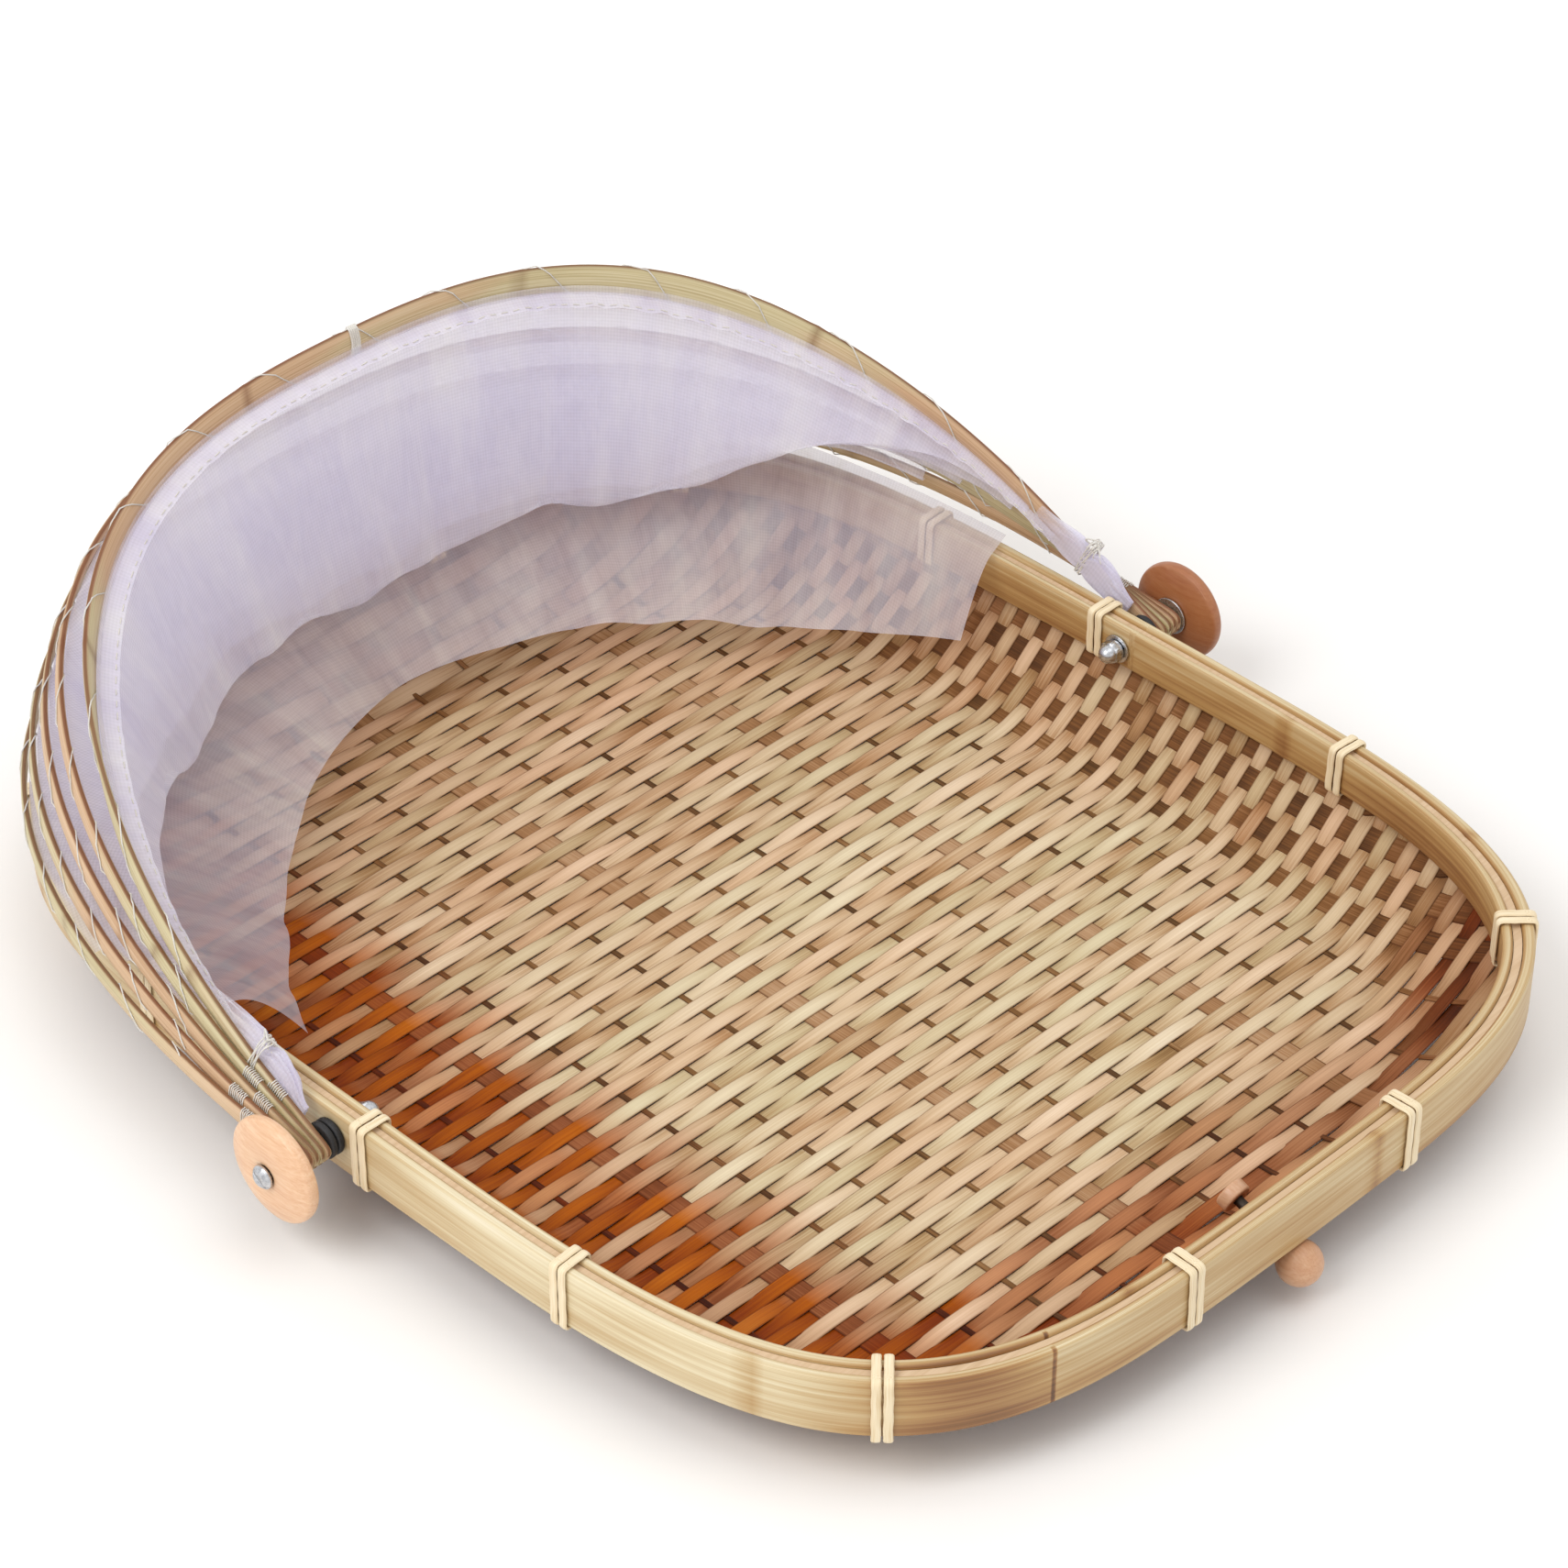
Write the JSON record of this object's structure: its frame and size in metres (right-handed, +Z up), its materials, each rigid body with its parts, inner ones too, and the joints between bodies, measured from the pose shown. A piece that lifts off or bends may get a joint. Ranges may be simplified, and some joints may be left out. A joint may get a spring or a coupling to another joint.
{
  "type": "food cover basket",
  "caption": "Shallow rectangular woven bamboo tray with a gauze hood on bamboo ribs, which folds back about a bolt on each long side.",
  "frame": {"origin": "centre of the tray's flat base, on the surface that it rests on", "axes": "+Z up; -Y is the open front with the latch bead; +X to the right seen from the front, along the hinge line"},
  "size_m": [0.3768, 0.4246, 0.1317],
  "materials": {
    "woven_bamboo": "split bamboo strips, plain woven, clear sealed, satin",
    "rim_bamboo": "shaved olive-tan bamboo, satin",
    "rib_bamboo": "thin shaved bamboo strip, matt to satin",
    "cream_cane_tie": "peeled cane strip, cream, satin",
    "turned_wood": "turned beech, peach, clear satin lacquer",
    "bright_steel": "zinc plated, bright",
    "black_rubber": "moulded, matt black",
    "white_gauze": "open polyester gauze, translucent white with a lavender cast",
    "white_thread": "twisted cotton thread, off-white"
  },
  "bodies": {
    "tray": {"tray_weave": "woven_bamboo", "rim_outer_band": "rim_bamboo", "rim_inner_band": "rim_bamboo", "rim_tie_1": "cream_cane_tie", "rim_tie_2": "cream_cane_tie", "rim_tie_3": "cream_cane_tie", "rim_tie_4": "cream_cane_tie", "rim_tie_5": "cream_cane_tie", "rim_tie_6": "cream_cane_tie", "rim_tie_7": "cream_cane_tie", "rim_tie_8": "cream_cane_tie", "rim_tie_9": "cream_cane_tie", "rim_tie_10": "cream_cane_tie", "rim_tie_11": "cream_cane_tie", "rim_tie_12": "cream_cane_tie", "rim_tie_13": "cream_cane_tie", "rim_tie_14": "cream_cane_tie", "latch_bead": "turned_wood", "latch_peg": "bright_steel", "latch_collar": "turned_wood", "rubber_ring_left_1": "black_rubber", "rubber_ring_left_2": "black_rubber", "pivot_bolt_left": "bright_steel", "cap_nut_left": "bright_steel", "knob_washer_left": "bright_steel", "nut_washer_left": "bright_steel", "rubber_ring_right_1": "black_rubber", "rubber_ring_right_2": "black_rubber", "pivot_bolt_right": "bright_steel", "cap_nut_right": "bright_steel", "knob_washer_right": "bright_steel", "nut_washer_right": "bright_steel"},
    "knob_left": {"knob_left": "turned_wood"},
    "knob_right": {"knob_right": "turned_wood"},
    "rib_rear": {"hood_rib_rear": "rib_bamboo", "gauze_rear_curtain": "white_gauze"},
    "rib_fourth": {"hood_rib_fourth": "rib_bamboo", "gauze_panel_4": "white_gauze"},
    "rib_third": {"hood_rib_third": "rib_bamboo", "gauze_panel_3": "white_gauze"},
    "rib_second": {"hood_rib_second": "rib_bamboo", "gauze_panel_2": "white_gauze"},
    "rib_front": {"hood_rib_front": "rib_bamboo", "gauze_panel_1": "white_gauze", "gauze_tail_left": "white_gauze", "gauze_tail_right": "white_gauze", "string_knot": "white_thread"}
  },
  "joints": [
    {"name": "knob_left_turn", "type": "hinge", "parent": "tray", "child": "knob_left", "pos_m": [0, 0.004, 0.03], "axis": [1, 0, 0], "continuous": true},
    {"name": "knob_right_turn", "type": "hinge", "parent": "tray", "child": "knob_right", "pos_m": [0, 0.004, 0.03], "axis": [1, 0, 0], "continuous": true},
    {"name": "hood_rear_swing", "type": "hinge", "parent": "tray", "child": "rib_rear", "pos_m": [0, 0.004, 0.03], "axis": [1, 0, 0], "range_deg": [-0.3, 3], "deforming": ["gauze_rear_curtain"]},
    {"name": "hood_fourth_swing", "type": "hinge", "parent": "rib_rear", "child": "rib_fourth", "pos_m": [0, 0.004, 0.03], "axis": [1, 0, 0], "range_deg": [-3, 35.3], "deforming": ["gauze_panel_4"]},
    {"name": "hood_third_swing", "type": "hinge", "parent": "rib_fourth", "child": "rib_third", "pos_m": [0, 0.004, 0.03], "axis": [1, 0, 0], "range_deg": [-3, 35.3], "deforming": ["gauze_panel_3"]},
    {"name": "hood_second_swing", "type": "hinge", "parent": "rib_third", "child": "rib_second", "pos_m": [0, 0.004, 0.03], "axis": [1, 0, 0], "range_deg": [-3, 35.3], "deforming": ["gauze_panel_2"]},
    {"name": "hood_fold", "type": "hinge", "parent": "rib_second", "child": "rib_front", "pos_m": [0, 0.004, 0.03], "axis": [1, 0, 0], "range_deg": [-2.9, 35.2], "deforming": ["gauze_panel_1", "gauze_tail_left", "gauze_tail_right"]}
  ],
  "couplings": [
    {"joint": "hood_rear_swing", "follows": "hood_fold", "ratio": 0.08},
    {"joint": "hood_fourth_swing", "follows": "hood_fold", "ratio": 1},
    {"joint": "hood_third_swing", "follows": "hood_fold", "ratio": 1},
    {"joint": "hood_second_swing", "follows": "hood_fold", "ratio": 1}
  ]
}
